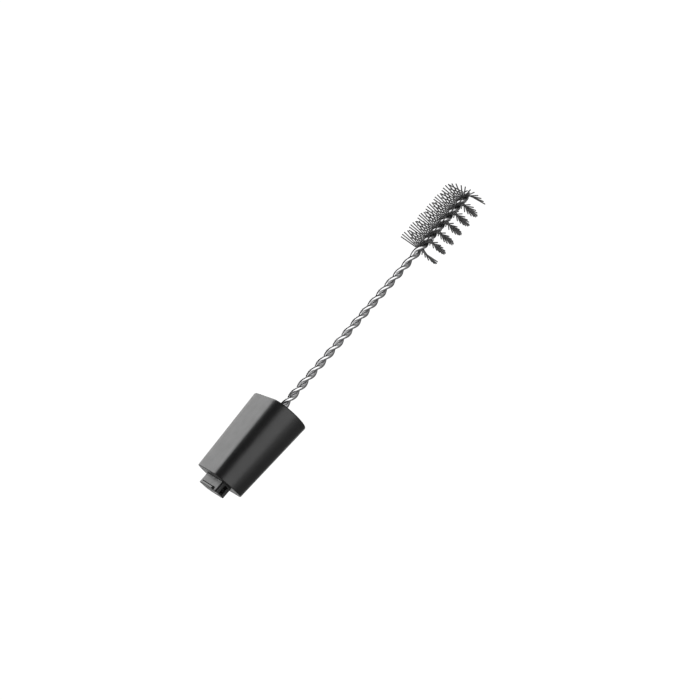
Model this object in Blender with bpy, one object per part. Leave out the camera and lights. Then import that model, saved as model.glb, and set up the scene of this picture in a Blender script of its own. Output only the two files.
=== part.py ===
"""Twisted-wire cleaning brush on a tapered snap-in handle.

Run with: blender --background --python part.py
Units are metres, +Z up. The stem axis runs along +X, towards the brush. The origin is at the bottom centre of
the whole object: the object lies on a surface with the handle's two flats facing up and down.
"""

import math

import bmesh
import bpy
from mathutils import Vector

MM = 0.001

# ---- lengths along the stem axis (mm), from the plug's end to the wire tips
BLADE_LENGTH = 2.91
HANDLE_LENGTH = 23.12
STEM_LENGTH = 56.9
TWIST_PITCH = 7.12
ROW_COUNT = 12  # one row for each quarter turn of the twist
TIP_LENGTH = 0.35
BRUSH_LENGTH = ROW_COUNT * TWIST_PITCH / 4
OVERALL_LENGTH = BLADE_LENGTH + HANDLE_LENGTH + STEM_LENGTH + BRUSH_LENGTH + TIP_LENGTH

X_BLADE_END = -OVERALL_LENGTH / 2
X_HANDLE_REAR = X_BLADE_END + BLADE_LENGTH
X_HANDLE_FRONT = X_HANDLE_REAR + HANDLE_LENGTH
X_BRUSH_START = X_HANDLE_FRONT + STEM_LENGTH
X_BRUSH_END = X_BRUSH_START + BRUSH_LENGTH
X_TIP = OVERALL_LENGTH / 2

# ---- handle section (mm): two flats and two rounded sides, larger at the stem end
FRONT_HALF_THICKNESS = 5.64
FRONT_HALF_BREADTH = 10.66
REAR_HALF_THICKNESS = 4.57
REAR_HALF_BREADTH = 9.18
FLAT_HALF_WIDTH = 5.6  # both flats keep one width; the side arcs meet them at a slight crease
ROUND_REACH = math.radians(83.0)
SIDE_SEGMENTS = 12
WALL = 1.2
FRONT_WEB = 2.0

# ---- blind boss for the stem, and its ferrule (mm)
BOSS_RADIUS = 2.8
BOSS_LENGTH = 8.4
BORE_RADIUS = 1.75
BORE_DEPTH = 9.2
FERRULE_OUTER = 1.63
FERRULE_INNER = 1.20
FERRULE_LENGTH = 7.0
FERRULE_RECESS = 1.4
STEM_INSERT = 8.6

# ---- end plug and blade (mm)
PLUG_GAP = 0.12
PLUG_THICKNESS = 1.8
BLADE_WIDTH = 11.56
BLADE_THICKNESS = 3.04
BLADE_CHAMFER_Y = 0.61
BLADE_CHAMFER_Z = 0.285
WINDOW_HEIGHT = 1.05
WINDOW_NEAR = 0.25
WINDOW_FAR = 2.65

# ---- catches on the blade's two broad faces (mm)
CATCH_WIDTH = 8.0
CATCH_END_SLOPE = 0.55
CATCH_LENGTH = 0.76
CATCH_PROUD = 0.42
CATCH_RAMP = 0.12
CATCH_GAP = 0.25

# ---- twisted wires (mm)
WIRE_RADIUS = 0.55
WIRE_OFFSET_STEM = 0.57
WIRE_OFFSET_BRUSH = 0.68
TWIST_AT_BRUSH = math.radians(-45.0)
TWIST_LAG = math.radians(20.0)  # the wires turn a little less where they open round the first bristles
LAG_LENGTH = 5.0
WIRE_SIDES = 6
WIRE_STEPS_PER_TURN = 14

# ---- bristles (mm)
BRUSH_RADIUS = 6.15
ROW_THICKNESS = 0.28
ROW_PINCH = 0.14
ROW_GAP = 0.12
ROW_STEPS = 4
PINCH_RADIUS = 1.0

AXIS_HEIGHT = BRUSH_RADIUS


def clear_scene():
    for obj in list(bpy.data.objects):
        bpy.data.objects.remove(obj, do_unlink=True)


def material(name, colour, roughness, metallic):
    made = bpy.data.materials.new(name)
    made.use_nodes = True
    shader = made.node_tree.nodes["Principled BSDF"]
    shader.inputs["Base Color"].default_value = (*colour, 1.0)
    shader.inputs["Roughness"].default_value = roughness
    shader.inputs["Metallic"].default_value = metallic
    made.diffuse_color = (*colour, 1.0)
    return made


def smoothstep(value):
    value = min(max(value, 0.0), 1.0)
    return value * value * (3.0 - 2.0 * value)


def strand_angle(x):
    """Angle of the line through both wires, from +Y towards +Z, at a place along the axis."""
    before = X_BRUSH_START - x
    lag = TWIST_LAG * (1.0 - smoothstep(1.0 - before / LAG_LENGTH))
    return TWIST_AT_BRUSH - 2 * math.pi * before / TWIST_PITCH + lag


def strand_offset(x):
    opening = smoothstep((x - X_BRUSH_START + 2.5) / 2.5)
    return WIRE_OFFSET_STEM + (WIRE_OFFSET_BRUSH - WIRE_OFFSET_STEM) * opening


def add_object(name, mesh, look, parent, location=(0.0, 0.0, 0.0)):
    obj = bpy.data.objects.new(name, mesh)
    bpy.context.scene.collection.objects.link(obj)
    obj.parent = parent
    obj.location = Vector(location) * MM
    if look is not None:
        mesh.materials.append(look)
    return obj


def finish_mesh(name, bm, smooth=True):
    bmesh.ops.recalc_face_normals(bm, faces=bm.faces)
    mesh = bpy.data.meshes.new(name)
    bm.to_mesh(mesh)
    bm.free()
    if smooth:
        mesh.shade_smooth()
        mesh.set_sharp_from_angle(angle=math.radians(35))
    return mesh


def loft(name, rings, smooth=True):
    """A closed body through rings of equal point count, with a flat cap on the first and the last."""
    bm = bmesh.new()
    rows = [[bm.verts.new(Vector(point) * MM) for point in ring] for ring in rings]
    count = len(rows[0])
    for first, second in zip(rows, rows[1:]):
        for i in range(count):
            j = (i + 1) % count
            bm.faces.new((first[i], first[j], second[j], second[i]))
    bm.faces.new(rows[0])
    bm.faces.new(rows[-1])
    return finish_mesh(name, bm, smooth)


def side_directions(reach=ROUND_REACH):
    """Directions round the section: one side's arc, then the other's. The flats lie between them."""
    steps = [reach * (2.0 * i / SIDE_SEGMENTS - 1.0) for i in range(SIDE_SEGMENTS + 1)]
    return steps + [step + math.pi for step in steps]


def section_ring(x, half_thickness, half_breadth):
    """The side arc runs through the flat's edge and through the section's widest point."""
    reach_out = half_breadth - FLAT_HALF_WIDTH
    drop = (half_thickness**2 - reach_out**2) / (2 * reach_out)
    radius = reach_out + drop
    centre = half_breadth - radius
    ring = []
    for i, angle in enumerate(side_directions(math.atan2(half_thickness, drop))):
        side = 1.0 if i <= SIDE_SEGMENTS else -1.0
        ring.append((x, side * centre + radius * math.cos(angle), radius * math.sin(angle)))
    return ring


def round_ring(x, radius):
    return [(x, radius * math.cos(a), radius * math.sin(a)) for a in side_directions()]


def handle_size(x):
    """Half thickness and half breadth of the handle's outer section at a place along the axis."""
    share = (x - X_HANDLE_REAR) / HANDLE_LENGTH
    return (
        REAR_HALF_THICKNESS + (FRONT_HALF_THICKNESS - REAR_HALF_THICKNESS) * share,
        REAR_HALF_BREADTH + (FRONT_HALF_BREADTH - REAR_HALF_BREADTH) * share,
    )


def handle_ring(x, inset=0.0):
    thickness, breadth = handle_size(x)
    return section_ring(x, thickness - inset, breadth - inset)


def make_handle_shell(look, parent):
    x_web = X_HANDLE_FRONT - FRONT_WEB
    rings = [
        round_ring(X_HANDLE_FRONT - BORE_DEPTH, BORE_RADIUS),
        round_ring(X_HANDLE_FRONT, BORE_RADIUS),
        handle_ring(X_HANDLE_FRONT),
        handle_ring(X_HANDLE_REAR),
        handle_ring(X_HANDLE_REAR, WALL),
        handle_ring(x_web, WALL),
        round_ring(x_web, BOSS_RADIUS),
        round_ring(x_web - BOSS_LENGTH, BOSS_RADIUS),
    ]
    return add_object("handle_shell", loft("handle_shell", rings), look, parent)


def box_cutter(name, low, high, parent):
    bm = bmesh.new()
    bmesh.ops.create_cube(bm, size=1.0)
    centre = (Vector(low) + Vector(high)) / 2
    size = Vector(high) - Vector(low)
    for vert in bm.verts:
        vert.co = Vector(
            (
                (vert.co.x * size.x + centre.x) * MM,
                (vert.co.y * size.y + centre.y) * MM,
                (vert.co.z * size.z + centre.z) * MM,
            )
        )
    return add_helper(name, finish_mesh(name, bm, False), parent)


def add_helper(name, mesh, parent):
    helper = add_object(name, mesh, None, parent)
    helper.hide_render = True
    helper.display_type = "WIRE"
    return helper


def boolean(obj, operation, other):
    modifier = obj.modifiers.new(f"{operation.lower()} {other.name}", "BOOLEAN")
    modifier.operation = operation
    modifier.solver = "EXACT"
    modifier.object = other


def profile_prism(name, profile, half_width):
    """An (x, z) outline drawn out along Y."""
    rings = [[(x, y, z) for x, z in profile] for y in (-half_width, half_width)]
    return loft(name, rings, False)


def blade_ring(x):
    """The blade's section: a rectangle with its four long edges bevelled at a shallow angle."""
    y, z = BLADE_WIDTH / 2, BLADE_THICKNESS / 2
    a, b = y - BLADE_CHAMFER_Y, z - BLADE_CHAMFER_Z
    corners = [(y, -b), (y, b), (a, z), (-a, z), (-y, b), (-y, -b), (-a, -z), (a, -z)]
    return [(x, *corner) for corner in corners]


def make_end_plug(look, parent):
    thickness, breadth = handle_size(X_HANDLE_REAR)
    inset = WALL + PLUG_GAP
    rings = [
        section_ring(x, thickness - inset, breadth - inset)
        for x in (X_HANDLE_REAR, X_HANDLE_REAR + PLUG_THICKNESS)
    ]
    plug = add_object("end_plug", loft("end_plug", rings), look, parent)
    half_width = BLADE_WIDTH / 2
    ends = (X_BLADE_END, X_HANDLE_REAR + 0.6)
    blade_mesh = loft("blade_block", [blade_ring(x) for x in ends], False)
    blade = add_helper("blade_block", blade_mesh, parent)
    window = box_cutter(
        "blade_window",
        (X_BLADE_END + WINDOW_NEAR, -half_width - 1, -WINDOW_HEIGHT / 2),
        (X_BLADE_END + WINDOW_FAR, half_width + 1, WINDOW_HEIGHT / 2),
        parent,
    )
    boolean(plug, "UNION", blade)
    boolean(plug, "DIFFERENCE", window)
    floor = WINDOW_HEIGHT / 2 + 0.03
    far = CATCH_LENGTH + CATCH_GAP
    for name, side in (("catch_pocket_upper", 1), ("catch_pocket_lower", -1)):
        outline = [
            (-1.0, 3.0),
            (far, 3.0),
            (far, 0.3),
            (WINDOW_NEAR, 0.3),
            (WINDOW_NEAR, floor),
            (-1.0, floor),
        ]
        profile = [(X_BLADE_END + x, side * z) for x, z in outline]
        pocket = profile_prism(name, profile, CATCH_WIDTH / 2 + CATCH_GAP)
        boolean(plug, "DIFFERENCE", add_helper(name, pocket, parent))
    return plug


def make_catch(name, side, look, parent):
    """The origin is on the blade's face, where the catch slides in and out along Z."""
    face = BLADE_THICKNESS / 2
    top = face + CATCH_PROUD
    tread = 1.02
    foot = 0.62
    step = WINDOW_NEAR + 0.08
    outline = [
        (0.0, tread),
        (0.0, face + 0.1),
        (CATCH_RAMP, top),
        (CATCH_LENGTH, top),
        (CATCH_LENGTH, foot),
        (step, foot),
        (step, tread),
    ]
    profile = [(x, side * (z - face)) for x, z in outline]
    mesh = profile_prism(name, profile, CATCH_WIDTH / 2)
    slope_ends(mesh, side)
    return add_object(name, mesh, look, parent, (X_BLADE_END, 0.0, side * face))


def slope_ends(mesh, side):
    """Slopes both ends of a catch, from the blade's face up to the catch's top."""
    bm = bmesh.new()
    bm.from_mesh(mesh)
    for end in (1, -1):
        geometry = bm.verts[:] + bm.edges[:] + bm.faces[:]
        cut = bmesh.ops.bisect_plane(
            bm,
            geom=geometry,
            plane_co=Vector((0.0, end * CATCH_WIDTH / 2, 0.0)) * MM,
            plane_no=Vector((0.0, end * CATCH_PROUD, side * CATCH_END_SLOPE)),
            clear_outer=True,
        )
        edges = [item for item in cut["geom_cut"] if isinstance(item, bmesh.types.BMEdge)]
        bmesh.ops.holes_fill(bm, edges=edges)
    bmesh.ops.recalc_face_normals(bm, faces=bm.faces)
    bm.to_mesh(mesh)
    bm.free()


def make_ferrule(look, parent):
    front = X_HANDLE_FRONT - FERRULE_RECESS
    rear = front - FERRULE_LENGTH
    bm = bmesh.new()
    sides = 16
    profile = [
        (rear, FERRULE_INNER),
        (rear, FERRULE_OUTER),
        (rear + 2.6, FERRULE_OUTER),
        (rear + 3.0, FERRULE_OUTER - 0.14),
        (rear + 3.6, FERRULE_OUTER - 0.14),
        (rear + 4.0, FERRULE_OUTER),
        (front, FERRULE_OUTER),
        (front, FERRULE_INNER),
    ]
    rows = []
    for i in range(sides):
        angle = 2 * math.pi * i / sides
        rows.append(
            [
                bm.verts.new(Vector((x, r * math.cos(angle), r * math.sin(angle))) * MM)
                for x, r in profile
            ]
        )
    for i in range(sides):
        first, second = rows[i], rows[(i + 1) % sides]
        for k in range(len(profile)):
            m = (k + 1) % len(profile)
            bm.faces.new((first[k], first[m], second[m], second[k]))
    return add_object("stem_ferrule", finish_mesh("stem_ferrule", bm), look, parent)


def make_wire(name, turn, look, parent):
    """One strand: a round wire swept along its helix, cut square at both ends."""
    x_start = X_HANDLE_FRONT - STEM_INSERT
    steps = round((X_TIP - x_start) / TWIST_PITCH * WIRE_STEPS_PER_TURN)

    def centre(x):
        angle = strand_angle(x) + turn
        offset = strand_offset(x)
        return Vector((x, offset * math.cos(angle), offset * math.sin(angle)))

    rings = []
    for i in range(steps + 1):
        x = x_start + (X_TIP - x_start) * i / steps
        here = centre(x)
        tangent = (centre(x + 0.01) - centre(x - 0.01)).normalized()
        outward = Vector((0.0, here.y, here.z)).normalized()
        across = tangent.cross(outward).normalized()
        outward = across.cross(tangent).normalized()
        ring = []
        for k in range(WIRE_SIDES):
            angle = 2 * math.pi * k / WIRE_SIDES
            point = here + WIRE_RADIUS * (math.cos(angle) * outward + math.sin(angle) * across)
            if i in (0, steps):
                point += tangent * ((x - point.x) / tangent.x)
            ring.append(tuple(point))
        rings.append(ring)
    return add_object(name, loft(name, rings), look, parent)


def make_bristle_row(index, look, parent):
    """The sheet that seven neighbouring bristles sweep in a quarter turn, gripped between the wires."""
    length = BRUSH_LENGTH / ROW_COUNT
    start = X_BRUSH_START + index * length + ROW_GAP / 2
    end = X_BRUSH_START + (index + 1) * length - ROW_GAP / 2
    reaches = (-BRUSH_RADIUS, -PINCH_RADIUS, 0.0, PINCH_RADIUS, BRUSH_RADIUS)
    rings = []
    for i in range(ROW_STEPS + 1):
        x = start + (end - start) * i / ROW_STEPS
        angle = strand_angle(x) + math.pi / 2
        along = Vector((0.0, math.cos(angle), math.sin(angle)))
        around = Vector((0.0, -math.sin(angle), math.cos(angle)))
        lower, upper = [], []
        for reach in reaches:
            half = ROW_PINCH / 2 if abs(reach) < PINCH_RADIUS + 0.01 else ROW_THICKNESS / 2
            slope = 2 * math.pi * reach / TWIST_PITCH
            normal = (around - slope * Vector((1, 0, 0))).normalized()
            middle = Vector((x, 0.0, 0.0)) + reach * along
            lower.append(tuple(middle - half * normal))
            upper.append(tuple(middle + half * normal))
        rings.append(lower + upper[::-1])
    name = f"bristle_row_{index + 1:02d}"
    return add_object(name, loft(name, rings), look, parent)


def main():
    clear_scene()
    axis = bpy.data.objects.new("stem_axis", None)
    bpy.context.scene.collection.objects.link(axis)
    axis.location = (0.0, 0.0, AXIS_HEIGHT * MM)

    black = (0.022, 0.022, 0.023)
    make_handle_shell(material("handle_plastic", black, 0.42, 0.0), axis)
    make_end_plug(material("plug_plastic", black, 0.45, 0.0), axis)
    make_catch("catch_upper", 1, material("catch_upper_plastic", black, 0.45, 0.0), axis)
    make_catch("catch_lower", -1, material("catch_lower_plastic", black, 0.45, 0.0), axis)
    steel = (0.60, 0.60, 0.61)
    make_ferrule(material("ferrule_steel", steel, 0.35, 1.0), axis)
    make_wire("stem_wire_a", 0.0, material("wire_a_steel", steel, 0.25, 1.0), axis)
    make_wire("stem_wire_b", math.pi, material("wire_b_steel", steel, 0.25, 1.0), axis)
    for index in range(ROW_COUNT):
        look = material(f"bristle_nylon_{index + 1:02d}", (0.035, 0.035, 0.036), 0.5, 0.0)
        make_bristle_row(index, look, axis)


main()
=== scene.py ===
"""Looks of the twisted-wire cleaning brush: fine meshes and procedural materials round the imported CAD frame."""

import math
import random

import bmesh  # noqa: E402
import bpy  # noqa: E402
from mathutils import Euler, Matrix, Vector  # noqa: E402


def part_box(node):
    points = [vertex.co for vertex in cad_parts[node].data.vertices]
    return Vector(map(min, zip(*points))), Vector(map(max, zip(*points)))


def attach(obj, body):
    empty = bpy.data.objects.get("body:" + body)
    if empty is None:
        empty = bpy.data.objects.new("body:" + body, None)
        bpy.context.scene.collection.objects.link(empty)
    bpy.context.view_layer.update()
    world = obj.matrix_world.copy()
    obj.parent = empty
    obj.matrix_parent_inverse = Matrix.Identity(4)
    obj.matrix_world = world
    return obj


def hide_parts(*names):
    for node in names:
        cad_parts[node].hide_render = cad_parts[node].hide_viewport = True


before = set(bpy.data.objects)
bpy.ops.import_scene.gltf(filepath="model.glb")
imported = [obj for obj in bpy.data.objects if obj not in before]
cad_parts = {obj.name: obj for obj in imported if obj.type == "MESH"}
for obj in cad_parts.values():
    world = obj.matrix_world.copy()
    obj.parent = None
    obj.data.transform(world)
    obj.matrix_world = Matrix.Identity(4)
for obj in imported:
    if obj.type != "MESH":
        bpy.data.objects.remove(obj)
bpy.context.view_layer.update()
MM = 0.001

# ---------------------------------------------------------------- layout, as the CAD's boxes say (mm)
shell_low, shell_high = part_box("handle_shell")
plug_low, plug_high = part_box("end_plug")
wire_low, wire_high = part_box("stem_wire_a")
row_low, row_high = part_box("bristle_row_01")

X_REAR = shell_low.x / MM
X_FRONT = shell_high.x / MM
X_END = plug_low.x / MM
X_TIP = wire_high.x / MM
X_STEM = wire_low.x / MM
AXIS_Z = (row_low.z + row_high.z) / 2 / MM
BRUSH_RADIUS = (row_high.z - row_low.z) / 2 / MM

FRONT_SIZE = (5.64, 10.66)
REAR_SIZE = (4.57, 9.18)
FLAT_HALF_WIDTH = 5.6
ROUND_REACH = math.radians(83.0)
WALL = 1.2
FRONT_WEB = 2.0
PLUG_GAP = 0.12

TWIST_PITCH = 7.12
ROW_COUNT = 12
X_BRUSH = X_FRONT + 56.9
TWIST_AT_BRUSH = math.radians(-45.0)
TWIST_LAG = math.radians(20.0)
LAG_LENGTH = 5.0
WIRE_RADIUS = 0.562
OFFSET_STEM = 0.57
OFFSET_BRUSH = 0.68

FILAMENTS_PER_ROW = 7
FILAMENT_RADIUS = 0.168


def smoothstep(v):
    v = min(max(v, 0.0), 1.0)
    return v * v * (3.0 - 2.0 * v)


def strand_angle(x):
    before = X_BRUSH - x
    lag = TWIST_LAG * (1.0 - smoothstep(1.0 - before / LAG_LENGTH))
    return TWIST_AT_BRUSH - 2 * math.pi * before / TWIST_PITCH + lag


def strand_offset(x):
    return OFFSET_STEM + (OFFSET_BRUSH - OFFSET_STEM) * smoothstep((x - X_BRUSH + 2.5) / 2.5)


# ---------------------------------------------------------------- mesh helpers
def place(point):
    """A point given round the stem axis, in millimetres, as a place in the frame."""
    return (point[0] * MM, point[1] * MM, (point[2] + AXIS_Z) * MM)


def link(name, mesh):
    obj = bpy.data.objects.new(name, mesh)
    bpy.context.scene.collection.objects.link(obj)
    return obj


def soften(mesh, angle=35.0):
    mesh.shade_smooth()
    mesh.set_sharp_from_angle(angle=math.radians(angle))


def face_out(mesh):
    bm = bmesh.new()
    bm.from_mesh(mesh)
    bmesh.ops.recalc_face_normals(bm, faces=bm.faces)
    bm.to_mesh(mesh)
    bm.free()


def lofted(name, rings, angle=35.0, uv=False):
    """A closed skin through rings of equal count, capped at both ends, with an optional lengthwise UV map."""
    count = len(rings[0])
    points = [place(p) for ring in rings for p in ring]
    faces = []
    for i in range(len(rings) - 1):
        for k in range(count):
            m = (k + 1) % count
            faces.append((i * count + k, i * count + m, (i + 1) * count + m, (i + 1) * count + k))
    faces.append(tuple(reversed(range(count))))
    last = (len(rings) - 1) * count
    faces.append(tuple(range(last, last + count)))
    mesh = bpy.data.meshes.new(name)
    mesh.from_pydata(points, [], faces)
    mesh.validate()
    if uv:
        layer = mesh.uv_layers.new(name="along")
        for polygon in mesh.polygons:
            wraps = any(mesh.loops[i].vertex_index % count == count - 1 for i in polygon.loop_indices)
            for i in polygon.loop_indices:
                vertex = mesh.loops[i].vertex_index
                around = vertex % count
                if wraps and around == 0 and len(polygon.loop_indices) == 4:
                    around = count
                layer.data[i].uv = (around / count, rings[vertex // count][0][0] * 0.1)
    face_out(mesh)
    soften(mesh, angle)
    return mesh


# ---------------------------------------------------------------- node material helpers
def new_material(name):
    made = bpy.data.materials.new(name)
    made.use_nodes = True
    tree = made.node_tree
    return made, tree, tree.nodes["Principled BSDF"]


def add_node(tree, kind, **settings):
    node = tree.nodes.new(kind)
    for key, value in settings.items():
        if key.startswith("in_"):
            socket = key[3:]
            node.inputs[int(socket) if socket.isdigit() else socket.replace("_", " ")].default_value = value
        else:
            setattr(node, key, value)
    return node


def object_coordinates(tree, scale=(1.0, 1.0, 1.0)):
    where = add_node(tree, "ShaderNodeTexCoord")
    mapping = add_node(tree, "ShaderNodeMapping")
    mapping.inputs["Scale"].default_value = scale
    tree.links.new(where.outputs["Object"], mapping.inputs["Vector"])
    return mapping.outputs["Vector"]


def noise(tree, vector, scale, detail=3.0, rough=0.55):
    node = add_node(tree, "ShaderNodeTexNoise")
    node.inputs["Scale"].default_value = scale
    node.inputs["Detail"].default_value = detail
    node.inputs["Roughness"].default_value = rough
    tree.links.new(vector, node.inputs["Vector"])
    return node.outputs["Fac"]


def spread(tree, value, low, high, start=0.3, end=0.7):
    node = add_node(tree, "ShaderNodeMapRange")
    node.inputs["From Min"].default_value = start
    node.inputs["From Max"].default_value = end
    node.inputs["To Min"].default_value = low
    node.inputs["To Max"].default_value = high
    tree.links.new(value, node.inputs["Value"])
    return node.outputs["Result"]


def two_tone(tree, value, first, second):
    node = add_node(tree, "ShaderNodeMix", data_type="RGBA")
    node.inputs[6].default_value = (*first, 1.0)
    node.inputs[7].default_value = (*second, 1.0)
    tree.links.new(value, node.inputs[0])
    return node.outputs[2]


def bump(tree, shader, height, distance, strength=1.0, under=None):
    node = add_node(tree, "ShaderNodeBump")
    node.inputs["Distance"].default_value = distance
    node.inputs["Strength"].default_value = strength
    tree.links.new(height, node.inputs["Height"])
    if under is not None:
        tree.links.new(under, node.inputs["Normal"])
    tree.links.new(node.outputs["Normal"], shader.inputs["Normal"])
    return node.outputs["Normal"]


def moulded_black(name, base, rough, grain=0.0035):
    """Satin moulded black: a spark-eroded grain of about 0.15 mm, faint flow shading and handled patches."""
    made, tree, shader = new_material(name)
    where = object_coordinates(tree)
    flow = noise(tree, object_coordinates(tree, (0.35, 1.0, 1.0)), 160.0, 4.0, 0.6)
    grit = noise(tree, where, 6500.0, 3.0, 0.6)
    pores = noise(tree, where, 14000.0, 2.0, 0.5)
    patches = noise(tree, where, 420.0, 5.0, 0.6)
    dark = tuple(c * 0.82 for c in base)
    light = tuple(c * 1.18 for c in base)
    tree.links.new(two_tone(tree, spread(tree, flow, 0.0, 1.0), dark, light), shader.inputs["Base Color"])
    tree.links.new(spread(tree, patches, rough - 0.025, rough + 0.035), shader.inputs["Roughness"])
    low = bump(tree, shader, grit, grain * MM)
    bump(tree, shader, pores, grain * 0.45 * MM, 1.0, low)
    shader.inputs["IOR"].default_value = 1.5
    return made


def drawn_steel(name, base, rough, streak=0.0016):
    """Bright drawn wire: fine die lines along its length and small changes of gloss."""
    made, tree, shader = new_material(name)
    where = add_node(tree, "ShaderNodeTexCoord")
    stretch = add_node(tree, "ShaderNodeMapping")
    stretch.inputs["Scale"].default_value = (26.0, 1.2, 1.0)
    tree.links.new(where.outputs["UV"], stretch.inputs["Vector"])
    lines = noise(tree, stretch.outputs["Vector"], 3.0, 4.0, 0.65)
    blotch = noise(tree, object_coordinates(tree), 900.0, 4.0, 0.6)
    dark = tuple(c * 0.86 for c in base)
    light = tuple(min(c * 1.08, 1.0) for c in base)
    tree.links.new(two_tone(tree, spread(tree, lines, 0.0, 1.0), dark, light), shader.inputs["Base Color"])
    tree.links.new(spread(tree, blotch, rough - 0.04, rough + 0.06), shader.inputs["Roughness"])
    shader.inputs["Metallic"].default_value = 1.0
    shader.inputs["Specular Tint"].default_value = (0.35, 0.35, 0.35, 1.0)
    bump(tree, shader, lines, streak * MM)
    return made


def nylon(name, base, rough):
    """Dark filament: a slightly waxy skin whose tone wavers along each strand."""
    made, tree, shader = new_material(name)
    where = object_coordinates(tree)
    tone = noise(tree, where, 700.0, 3.0, 0.6)
    skin = noise(tree, where, 9000.0, 2.0, 0.5)
    dark = tuple(c * 0.7 for c in base)
    light = tuple(c * 1.35 for c in base)
    tree.links.new(two_tone(tree, spread(tree, tone, 0.0, 1.0), dark, light), shader.inputs["Base Color"])
    tree.links.new(spread(tree, skin, rough - 0.05, rough + 0.08), shader.inputs["Roughness"])
    bump(tree, shader, skin, 0.002 * MM)
    shader.inputs["IOR"].default_value = 1.53
    return made


HANDLE_LOOK = moulded_black("handle_black", (0.0115, 0.0115, 0.0117), 0.355)
PLUG_LOOK = moulded_black("plug_black", (0.0120, 0.0120, 0.0122), 0.36, 0.0028)
CATCH_LOOK = moulded_black("catch_black", (0.0120, 0.0120, 0.0122), 0.34, 0.0024)
# painted shade: a darker, rougher black with weak specular for the catch pockets' inner faces, standing in for the
# shadow there
RECESS_SHADE_LOOK = moulded_black("recess_painted_shade", (0.0070, 0.0070, 0.0072), 0.78, 0.0060)
RECESS_SHADE_LOOK.node_tree.nodes["Principled BSDF"].inputs["Specular IOR Level"].default_value = 0.12
WIRE_LOOK = drawn_steel("drawn_wire", (0.63, 0.63, 0.635), 0.17)
FERRULE_LOOK = drawn_steel("crimped_ferrule", (0.55, 0.55, 0.56), 0.32, 0.002)
BRISTLE_LOOK = nylon("dark_nylon", (0.085, 0.085, 0.0855), 0.45)


def show(obj, look, body, slot, *nodes):
    if look is not None:
        obj.data.materials.append(look)
    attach(obj, body)
    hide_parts(*nodes)
    return obj


# ---------------------------------------------------------------- handle
def section_directions(steps, reach=ROUND_REACH):
    """(side, angle) round the stadium section."""
    found = []
    for side in (1, -1):
        turn = 0.0 if side == 1 else math.pi
        found += [(side, turn + reach * (2.0 * i / steps - 1.0)) for i in range(steps + 1)]
    return found


def section(x, half_thickness, half_breadth, inset=0.0, steps=44, support=1.0):
    """The stadium: two flats and two side arcs, with close points on each flat to hold its shading flat.

    The inset is an even wall inside the outer section.
    """
    reach_out = half_breadth - FLAT_HALF_WIDTH
    drop = (half_thickness**2 - reach_out**2) / (2 * reach_out)
    radius = reach_out + drop
    centre = half_breadth - radius
    radius -= inset
    ring = []
    directions = section_directions(steps, math.asin((half_thickness - inset) / radius))
    for i, (side, angle) in enumerate(directions):
        y = side * centre + radius * math.cos(angle)
        z = radius * math.sin(angle)
        first = i in (0, steps + 1)
        last = i in (steps, 2 * steps + 1)
        if first:
            ring.append((x, y - side * support, z))
        ring.append((x, y, z))
        if last:
            ring.append((x, y - side * support, z))
    return ring


def circle_like_section(x, radius, steps=44):
    """A circle with as many points as section() gives."""
    ring = []
    directions = section_directions(steps)
    nudge = math.radians(1.2)
    for i, (side, angle) in enumerate(directions):
        if i in (0, steps + 1):
            ring.append((x, radius * math.cos(angle - nudge), radius * math.sin(angle - nudge)))
        ring.append((x, radius * math.cos(angle), radius * math.sin(angle)))
        if i in (steps, 2 * steps + 1):
            ring.append((x, radius * math.cos(angle + nudge), radius * math.sin(angle + nudge)))
    return ring


def handle_section(x, inset=0.0):
    share = (x - X_REAR) / (X_FRONT - X_REAR)
    thickness = REAR_SIZE[0] + (FRONT_SIZE[0] - REAR_SIZE[0]) * share
    breadth = REAR_SIZE[1] + (FRONT_SIZE[1] - REAR_SIZE[1]) * share
    return section(x, thickness, breadth, inset)


def make_handle():
    front_fillet, rear_fillet, steps = 0.42, 0.22, 7
    bore, x_web = 1.75, X_FRONT - FRONT_WEB
    rings = [
        circle_like_section(X_FRONT - 9.2, bore),
        circle_like_section(X_FRONT - 0.32, bore),
        circle_like_section(X_FRONT - 0.28, bore),
        circle_like_section(X_FRONT - 0.02, bore + 0.24),
        circle_like_section(X_FRONT, bore + 0.28),
        circle_like_section(X_FRONT, bore + 0.34),
        handle_section(X_FRONT, front_fillet + 0.06),
    ]
    for i in range(steps + 1):
        angle = math.pi / 2 * i / steps
        x = X_FRONT - front_fillet * (1 - math.cos(angle))
        rings.append(handle_section(x, front_fillet * (1 - math.sin(angle))))
    rings.append(handle_section(X_FRONT - front_fillet - 0.05))
    for share in (0.25, 0.5, 0.75):
        rings.append(handle_section(X_FRONT + (X_REAR - X_FRONT) * share))
    rings.append(handle_section(X_REAR + rear_fillet + 0.05))
    for i in range(steps + 1):
        angle = math.pi / 2 * i / steps
        x = X_REAR + rear_fillet * (1 - math.sin(angle))
        rings.append(handle_section(x, rear_fillet * (1 - math.cos(angle))))
    rings += [
        handle_section(X_REAR, rear_fillet + 0.04),
        handle_section(X_REAR, WALL - 0.14),
        handle_section(X_REAR, WALL - 0.10),
        handle_section(X_REAR + 0.10, WALL),
        handle_section(X_REAR + 0.14, WALL),
        handle_section(x_web - 0.04, WALL),
        handle_section(x_web, WALL + 0.04),
        circle_like_section(x_web, 2.84),
        circle_like_section(x_web - 0.04, 2.80),
        circle_like_section(x_web - 8.3, 2.80),
        circle_like_section(x_web - 8.4, 2.70),
    ]
    return link("handle_moulding", lofted("handle_moulding", rings))


show(make_handle(), HANDLE_LOOK, "brush", "handle", "handle_shell")


# ---------------------------------------------------------------- end plug with its blade
BLADE_HALF_WIDTH, BLADE_HALF_THICK = 5.78, 1.52
CHAMFER_Y, CHAMFER_Z = 0.61, 0.285
WINDOW_HALF, WINDOW_NEAR, WINDOW_FAR = 0.525, 0.25, 2.60
CATCH_HALF, CATCH_LENGTH, CATCH_GAP, CATCH_PROUD, CATCH_SLOPE = 4.0, 0.64, 0.24, 0.42, 0.55


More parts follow.
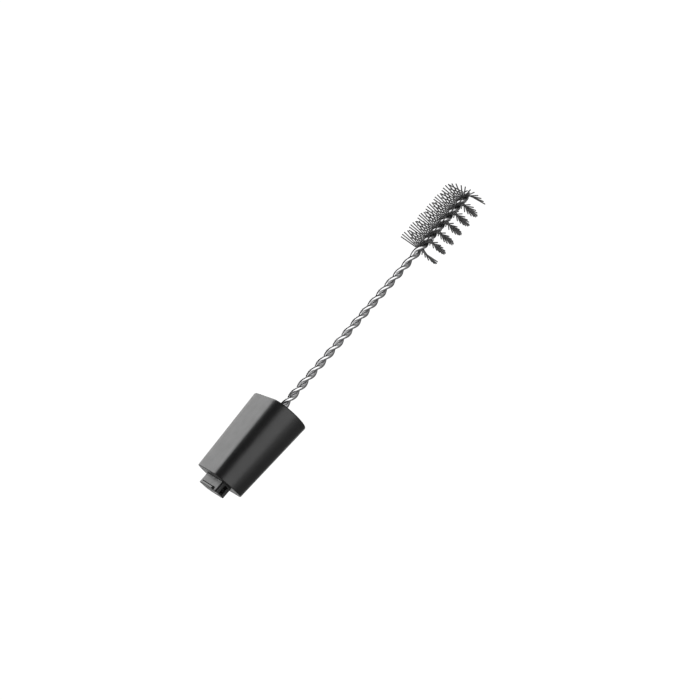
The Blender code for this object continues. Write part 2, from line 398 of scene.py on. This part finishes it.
def blade_outline(grow=0.0):
    """(y, z) round the blade: broad faces, shallow slopes along the long edges, narrow faces, softened corners."""
    y, z = BLADE_HALF_WIDTH + grow, BLADE_HALF_THICK + grow
    a, b = y - CHAMFER_Y, z - CHAMFER_Z
    corners = [(y, -b), (y, b), (a, z), (-a, z), (-y, b), (-y, -b), (-a, -z), (a, -z)]
    reach = 0.10
    outline = []
    count = len(corners)
    for i, corner in enumerate(corners):
        here = Vector(corner)
        before = (Vector(corners[i - 1]) - here).normalized()
        after = (Vector(corners[(i + 1) % count]) - here).normalized()
        for t in (0.0, 0.25, 0.5, 0.75, 1.0):
            start, end = here + before * reach, here + after * reach
            point = start * (1 - t) ** 2 + here * 2 * t * (1 - t) + end * t * t
            outline.append((point.x, point.y))
    return outline


def plain_mesh(name, rings):
    return lofted(name, rings, 28.0)


def cutter(name, rings):
    obj = link(name, plain_mesh(name, rings))
    obj.hide_render = True
    return obj


def cut(obj, other, operation="DIFFERENCE"):
    modifier = obj.modifiers.new(other.name, "BOOLEAN")
    modifier.operation = operation
    modifier.solver = "EXACT"
    modifier.object = other


def baked(obj, helpers):
    """Applies the modifiers and removes the helper objects."""
    graph = bpy.context.evaluated_depsgraph_get()
    mesh = bpy.data.meshes.new_from_object(obj.evaluated_get(graph))
    obj.modifiers.clear()
    old = obj.data
    obj.data = mesh
    bpy.data.meshes.remove(old)
    for helper in helpers:
        bpy.data.objects.remove(helper, do_unlink=True)
    mesh.materials.clear()
    soften(mesh, 30.0)
    return weighted(obj)


def weighted(obj):
    """Large flat faces keep their own normals, so that only the small rounded edges shade softly."""
    modifier = obj.modifiers.new("flat_faces_first", "WEIGHTED_NORMAL")
    modifier.weight = 100
    modifier.keep_sharp = True
    return obj


def make_plug():
    inset = WALL + PLUG_GAP
    edge = 0.12
    x0, x1 = X_REAR, X_REAR + 1.8

    def plate(x, more):
        return section(x, *REAR_SIZE, inset + more, 44, 0.05)

    rings = [plate(x0, edge + 0.04), plate(x0, edge)]
    for i in range(1, 5):
        angle = math.pi / 2 * i / 4
        rings.append(plate(x0 + edge * (1 - math.cos(angle)), edge * (1 - math.sin(angle))))
    rings += [plate(x0 + edge + 0.04, 0.0), plate(x1 - 0.1, 0.0), plate(x1, 0.1)]
    plug = link("end_plug_moulding", plain_mesh("end_plug_moulding", rings))

    end_round = 0.10
    blade_rings = []
    for i in range(5):
        angle = math.pi / 2 * i / 4
        x = X_END + end_round * (1 - math.sin(angle))
        grow = -end_round * (1 - math.cos(angle))
        blade_rings.append([(x, y, z) for y, z in blade_outline(grow)])
    blade_rings.reverse()
    fillet = 0.20
    flare = []
    for i in range(5):
        angle = math.pi / 2 * i / 4
        x = X_REAR + 0.013 - fillet * (1 - math.sin(angle))
        flare.append([(x, y, z) for y, z in blade_outline(fillet * (1 - math.cos(angle)))])
    blade_rings.append([(X_END + end_round + 0.05, y, z) for y, z in blade_outline()])
    blade_rings.append([(X_REAR - fillet - 0.05, y, z) for y, z in blade_outline()])
    blade_rings += flare
    blade_rings.append([(X_REAR + 0.6, y, z) for y, z in blade_outline(fillet)])
    blade = cutter("blade_block", blade_rings)

    def frame_ring(y, more):
        low_x, high_x = X_END + WINDOW_NEAR - more, X_END + WINDOW_FAR + more
        z = WINDOW_HALF + more
        r = 0.14 + more
        ring = []
        for cx, cz, start in (
            (high_x - r, z - r, 0.0),
            (low_x + r, z - r, 0.5),
            (low_x + r, -z + r, 1.0),
            (high_x - r, -z + r, 1.5),
        ):
            for k in range(5):
                angle = math.pi * (start + 0.5 * k / 4)
                ring.append((cx + r * math.cos(angle), y, cz + r * math.sin(angle)))
        return ring

    half = BLADE_HALF_WIDTH
    window = cutter(
        "blade_window",
        [
            frame_ring(-half - 0.5, 0.09),
            frame_ring(-half - 0.02, 0.09),
            frame_ring(-half + 0.07, 0.0),
            frame_ring(half - 0.07, 0.0),
            frame_ring(half + 0.02, 0.09),
            frame_ring(half + 0.5, 0.09),
        ],
    )
    helpers = [blade, window]
    cut(blade, window)
    floor = WINDOW_HALF + 0.075
    far = CATCH_LENGTH + CATCH_GAP
    for name, side in (("pocket_upper", 1), ("pocket_lower", -1)):
        outline = [(-1.0, 3.0), (far, 3.0), (far, floor), (-1.0, floor)]
        reach = CATCH_HALF + CATCH_GAP
        rings = [[(X_END + x, y, side * z) for x, z in outline] for y in (-reach, reach)]
        pocket = cutter(name, rings)
        helpers.append(pocket)
        cut(blade, pocket)
    cut(plug, blade, "UNION")
    return baked(plug, helpers)


def line_recesses(plug):
    """The catch pockets' inner faces get a second material, darker and duller than the plug: painted shade
    standing in for the shadow inside the pockets.
    """
    plug.data.materials.append(RECESS_SHADE_LOOK)
    reach = CATCH_HALF + CATCH_GAP + 0.01
    for polygon in plug.data.polygons:
        x, y, z = (v / MM for v in polygon.center)
        x, z = x - X_END, z - AXIS_Z
        inside = abs(y) < reach and 0.26 < x < CATCH_LENGTH + CATCH_GAP + 0.01 and 0.29 < abs(z) < BLADE_HALF_THICK - 0.02
        if inside:
            polygon.material_index = 1


line_recesses(show(make_plug(), PLUG_LOOK, "brush", "plug", "end_plug"))


def make_catch(name, side):
    """The snap catch: a lead-in ramp, a square holding edge and sloped ends, with softened edges."""
    face = BLADE_HALF_THICK
    top = face + CATCH_PROUD
    outline = [
        (0.03, 1.02),
        (0.0, 1.06),
        (0.0, face + 0.26),
        (0.02, face + 0.30),
        (0.10, top - 0.03),
        (0.15, top),
        (CATCH_LENGTH - 0.07, top),
        (CATCH_LENGTH - 0.02, top - 0.02),
        (CATCH_LENGTH, top - 0.07),
        (CATCH_LENGTH, 1.06),
        (CATCH_LENGTH - 0.03, 1.02),
    ]
    rings = [[(X_END + x, y, side * z) for x, z in outline] for y in (-CATCH_HALF, CATCH_HALF)]
    mesh = plain_mesh(name, rings)
    bm = bmesh.new()
    bm.from_mesh(mesh)
    for end in (1, -1):
        cutted = bmesh.ops.bisect_plane(
            bm,
            geom=bm.verts[:] + bm.edges[:] + bm.faces[:],
            plane_co=Vector(place((X_END, end * CATCH_HALF, side * face))),
            plane_no=Vector((0.0, end * CATCH_PROUD, side * CATCH_SLOPE)),
            clear_outer=True,
        )
        edges = [e for e in cutted["geom_cut"] if isinstance(e, bmesh.types.BMEdge)]
        bmesh.ops.holes_fill(bm, edges=edges)
    bmesh.ops.recalc_face_normals(bm, faces=bm.faces)
    bm.to_mesh(mesh)
    bm.free()
    obj = link(name, mesh)
    rounding = obj.modifiers.new("soft_edges", "BEVEL")
    rounding.width = 0.025 * MM
    rounding.segments = 2
    rounding.limit_method = "ANGLE"
    rounding.angle_limit = math.radians(20)
    return baked(obj, [])


show(make_catch("upper_catch_lip", 1), CATCH_LOOK, "upper_catch", "plug", "catch_upper")
show(make_catch("lower_catch_lip", -1), CATCH_LOOK, "lower_catch", "plug", "catch_lower")


# ---------------------------------------------------------------- twisted wires
def wire_centre(x, turn):
    angle = strand_angle(x) + turn
    offset = strand_offset(x)
    return Vector((x, offset * math.cos(angle), offset * math.sin(angle)))


def make_wire(name, turn, seed):
    sides, per_turn = 20, 56
    steps = round((X_TIP - X_STEM) / TWIST_PITCH * per_turn)
    wander = random.Random(seed)
    phases = [wander.uniform(0, 2 * math.pi) for _ in range(4)]

    def ring_at(x, radius, flat=False):
        here = wire_centre(x, turn)
        tangent = (wire_centre(x + 0.01, turn) - wire_centre(x - 0.01, turn)).normalized()
        outward = Vector((0.0, here.y, here.z)).normalized()
        across = tangent.cross(outward).normalized()
        outward = across.cross(tangent).normalized()
        ring = []
        for k in range(sides):
            angle = 2 * math.pi * k / sides
            point = here + radius * (math.cos(angle) * outward + math.sin(angle) * across)
            if flat:
                point += tangent * ((x - point.x) / tangent.x)
            ring.append(tuple(point))
        return ring

    rings = [ring_at(X_STEM, WIRE_RADIUS - 0.06, True), ring_at(X_STEM + 0.02, WIRE_RADIUS - 0.01, True)]
    for i in range(1, steps):
        x = X_STEM + (X_TIP - X_STEM) * i / steps
        if X_STEM + 0.1 < x < X_TIP - 0.45:
            drift = sum(math.sin(x * f + p) for f, p in zip((0.9, 2.3, 5.1, 11.0), phases)) / 4
            rings.append(ring_at(x, WIRE_RADIUS * (1 + 0.006 * drift)))
    for back, radius in ((0.40, 0.0), (0.30, 0.0), (0.20, 0.0), (0.12, 0.004), (0.06, 0.014), (0.02, 0.035), (0.0, 0.07)):
        rings.append(ring_at(X_TIP - back, WIRE_RADIUS - radius, back < 0.25))
    return link(name, lofted(name, rings, 40.0, uv=True))


show(make_wire("stem_strand_a", 0.0, 3), WIRE_LOOK, "brush", "wire", "stem_wire_a")
show(make_wire("stem_strand_b", math.pi, 8), WIRE_LOOK, "brush", "wire", "stem_wire_b")


# ---------------------------------------------------------------- ferrule
def make_ferrule():
    front, rear, sides = X_FRONT - 1.4, X_FRONT - 8.4, 48
    outer, inner = 1.63, 1.20
    profile = [(rear, inner + 0.05), (rear + 0.05, inner), (front - 0.05, inner), (front, inner + 0.05)]
    profile += [(front, outer - 0.10), (front - 0.04, outer - 0.03), (front - 0.12, outer)]
    for start in (front - 1.9, front - 4.0):
        for k in range(9):
            share = k / 8
            profile.append((start - 1.1 * share, outer - 0.13 * math.sin(math.pi * share) ** 2))
    profile += [(rear + 0.12, outer), (rear + 0.04, outer - 0.03), (rear, outer - 0.10)]
    bm = bmesh.new()
    rows = []
    for i in range(sides):
        angle = 2 * math.pi * i / sides
        rows.append([bm.verts.new(place((x, r * math.cos(angle), r * math.sin(angle)))) for x, r in profile])
    for i in range(sides):
        one, two = rows[i], rows[(i + 1) % sides]
        for k in range(len(profile)):
            m = (k + 1) % len(profile)
            bm.faces.new((one[k], one[m], two[m], two[k]))
    bmesh.ops.recalc_face_normals(bm, faces=bm.faces)
    mesh = bpy.data.meshes.new("crimp_ferrule")
    bm.to_mesh(mesh)
    bm.free()
    soften(mesh, 40.0)
    return link("crimp_ferrule", mesh)


show(make_ferrule(), FERRULE_LOOK, "brush", "ferrule", "stem_ferrule")


# ---------------------------------------------------------------- bristles
def filament_rings(x, angle, chance):
    """One straight filament through the wires: nearly straight, cut square, each end a little out of line."""
    along = Vector((0.0, math.cos(angle), math.sin(angle)))
    around = Vector((0.0, -math.sin(angle), math.cos(angle)))
    axial = Vector((1.0, 0.0, 0.0))
    ends = [BRUSH_RADIUS - 0.02 - abs(chance.gauss(0.0, 0.06)) for _ in range(2)]
    lean = [(chance.gauss(0.0, 0.07), chance.gauss(0.0, 0.05)) for _ in range(2)]
    swell = 1.0 + chance.uniform(-0.04, 0.04)
    middle = Vector((x, 0.0, 0.0))
    sides = 8
    reaches = []
    for sign, end in ((-1, ends[0]), (1, ends[1])):
        stops = [end, end - 0.012, end - 0.05, end * 0.8, end * 0.6, end * 0.4, end * 0.22, 0.5]
        reaches += [sign * s for s in (stops if sign < 0 else stops[::-1])]
        if sign < 0:
            reaches.append(0.0)
    rings = []
    last = len(reaches) - 1
    for i, reach in enumerate(reaches):
        side = 0 if reach < 0 else 1
        share = abs(reach) / BRUSH_RADIUS
        bend = share * share
        centre = middle + along * reach + around * lean[side][0] * bend + axial * lean[side][1] * bend
        radius = FILAMENT_RADIUS * swell
        if i in (0, last):
            radius *= 0.72
        elif i in (1, last - 1):
            radius *= 0.93
        ring = []
        for k in range(sides):
            turn = 2 * math.pi * k / sides
            ring.append(tuple(centre + radius * (math.cos(turn) * around + math.sin(turn) * axial)))
        rings.append(ring)
    return rings


def make_row(index, chance):
    points, faces = [], []
    for k in range(FILAMENTS_PER_ROW):
        x = X_BRUSH + TWIST_PITCH / 4 * (index + (k + 0.5) / FILAMENTS_PER_ROW)
        rings = filament_rings(x, strand_angle(x) + math.pi / 2, chance)
        base, count = len(points), len(rings[0])
        points += [place(p) for ring in rings for p in ring]
        for i in range(len(rings) - 1):
            for j in range(count):
                m = (j + 1) % count
                a = base + i * count
                faces.append((a + j, a + m, a + count + m, a + count + j))
        faces.append(tuple(base + j for j in reversed(range(count))))
        last = base + (len(rings) - 1) * count
        faces.append(tuple(range(last, last + count)))
    name = f"bristles_{index + 1:02d}"
    mesh = bpy.data.meshes.new(name)
    mesh.from_pydata(points, [], faces)
    face_out(mesh)
    soften(mesh, 50.0)
    return link(name, mesh)


chance = random.Random(41)
for row in range(ROW_COUNT):
    show(make_row(row, chance), BRISTLE_LOOK, "brush", "bristle", f"bristle_row_{row + 1:02d}")


# ---------------------------------------------------------------- floor, light and camera
def make_sweep():
    """A wide pale floor that curves up into a wall all round."""
    profile = [(0.0, 0.0), (0.4, 0.0), (1.6, 0.0)]
    for i in range(1, 13):
        angle = math.pi / 2 * i / 12
        profile.append((1.6 + 0.8 * math.sin(angle), 0.8 * (1 - math.cos(angle))))
    profile += [(2.4, 2.0), (2.4, 3.2), (1.2, 3.9), (0.0, 4.0)]
    sides = 64
    points, faces = [], []
    for r, z in profile:
        for k in range(sides):
            angle = 2 * math.pi * k / sides
            points.append((max(r, 1e-5) * math.cos(angle), max(r, 1e-5) * math.sin(angle), z - 0.0002))
    for i in range(len(profile) - 1):
        for k in range(sides):
            m = (k + 1) % sides
            faces.append((i * sides + k, i * sides + m, (i + 1) * sides + m, (i + 1) * sides + k))
    mesh = bpy.data.meshes.new("studio_sweep")
    mesh.from_pydata(points, [], faces)
    mesh.shade_smooth()
    sweep = link("studio_sweep", mesh)
    made = bpy.data.materials.new("pale_paper")
    made.use_nodes = True
    tree = made.node_tree
    tree.nodes.clear()
    out = add_node(tree, "ShaderNodeOutputMaterial")
    glow = add_node(tree, "ShaderNodeEmission")
    glow.inputs["Color"].default_value = (1.0, 1.0, 1.0, 1.0)
    glow.inputs["Strength"].default_value = 1.05
    tree.links.new(glow.outputs["Emission"], out.inputs["Surface"])
    mesh.materials.append(made)
    sweep.visible_diffuse = False
    sweep.visible_glossy = False
    sweep.visible_transmission = False
    sweep.visible_shadow = False
    return sweep


make_sweep()


def softbox(name, centre, target, width, height, radiance):
    """A rectangular soft light; radiance is what a perfect mirror would show of it."""
    data = bpy.data.lights.new(name, "AREA")
    data.shape = "RECTANGLE"
    data.size = width
    data.size_y = height
    data.energy = radiance * width * height * math.pi
    light = bpy.data.objects.new(name, data)
    bpy.context.scene.collection.objects.link(light)
    light.location = Vector(centre)
    facing = (Vector(target) - Vector(centre)).normalized()
    light.rotation_euler = facing.to_track_quat("-Z", "Y").to_euler()
    light.visible_camera = False
    return light


def from_object(azimuth, elevation, distance):
    """A place round the object. Azimuth 0 is in front (-Y) and 90 is on the +X side."""
    a, e = math.radians(azimuth), math.radians(elevation)
    return (
        math.sin(a) * math.cos(e) * distance,
        -math.cos(a) * math.cos(e) * distance,
        math.sin(e) * distance,
    )


TARGET = (0.0, 0.0, 0.006)
softbox("back_panel", from_object(171, 25, 0.9), TARGET, 0.85, 0.66, 2.45)
softbox("back_panel_top", from_object(171, 50, 0.9), TARGET, 0.85, 0.18, 0.45)
softbox("back_low", from_object(186, -32, 0.9), TARGET, 0.8, 0.75, 0.75)
softbox("front_panel", from_object(2, 25, 0.8), TARGET, 1.05, 1.15, 1.75)
softbox("front_low", from_object(0, -22, 0.8), TARGET, 1.1, 0.5, 0.32)
softbox("left_panel", from_object(-52, 17, 0.8), TARGET, 0.5, 0.8, 0.85)
softbox("right_panel", from_object(62, 15, 0.8), TARGET, 0.6, 0.8, 0.38)

world = bpy.data.worlds.new("studio_air")
bpy.context.scene.world = world
world.use_nodes = True
tree = world.node_tree
tree.nodes.clear()
out = add_node(tree, "ShaderNodeOutputWorld")
air = add_node(tree, "ShaderNodeBackground")
where = add_node(tree, "ShaderNodeTexCoord")
split = add_node(tree, "ShaderNodeSeparateXYZ")
ramp = add_node(tree, "ShaderNodeMapRange")
tree.links.new(where.outputs["Generated"], split.inputs["Vector"])
tree.links.new(split.outputs["Z"], ramp.inputs["Value"])
ramp.inputs["From Min"].default_value = -0.25
ramp.inputs["From Max"].default_value = 0.45
ramp.inputs["To Min"].default_value = 0.19
ramp.inputs["To Max"].default_value = 0.015
tree.links.new(ramp.outputs["Result"], air.inputs["Strength"])
air.inputs["Color"].default_value = (1.0, 1.0, 1.0, 1.0)
tree.links.new(air.outputs["Background"], out.inputs["Surface"])

camera_data = bpy.data.cameras.new("camera")
camera_data.lens = 51.62
camera_data.sensor_width = 36.0
camera_data.clip_start = 0.01
camera_data.clip_end = 20.0
camera = bpy.data.objects.new("camera", camera_data)
bpy.context.scene.collection.objects.link(camera)
camera.location = (-0.0687206, -0.2274188, 0.1081989)
camera.rotation_euler = Euler([math.radians(v) for v in (58.76138, 38.11456, -36.83285)], "XYZ")
bpy.context.scene.camera = camera

scene = bpy.context.scene
scene.view_settings.view_transform = "Standard"
scene.view_settings.look = "None"
scene.view_settings.exposure = 0.0
scene.view_settings.gamma = 1.0
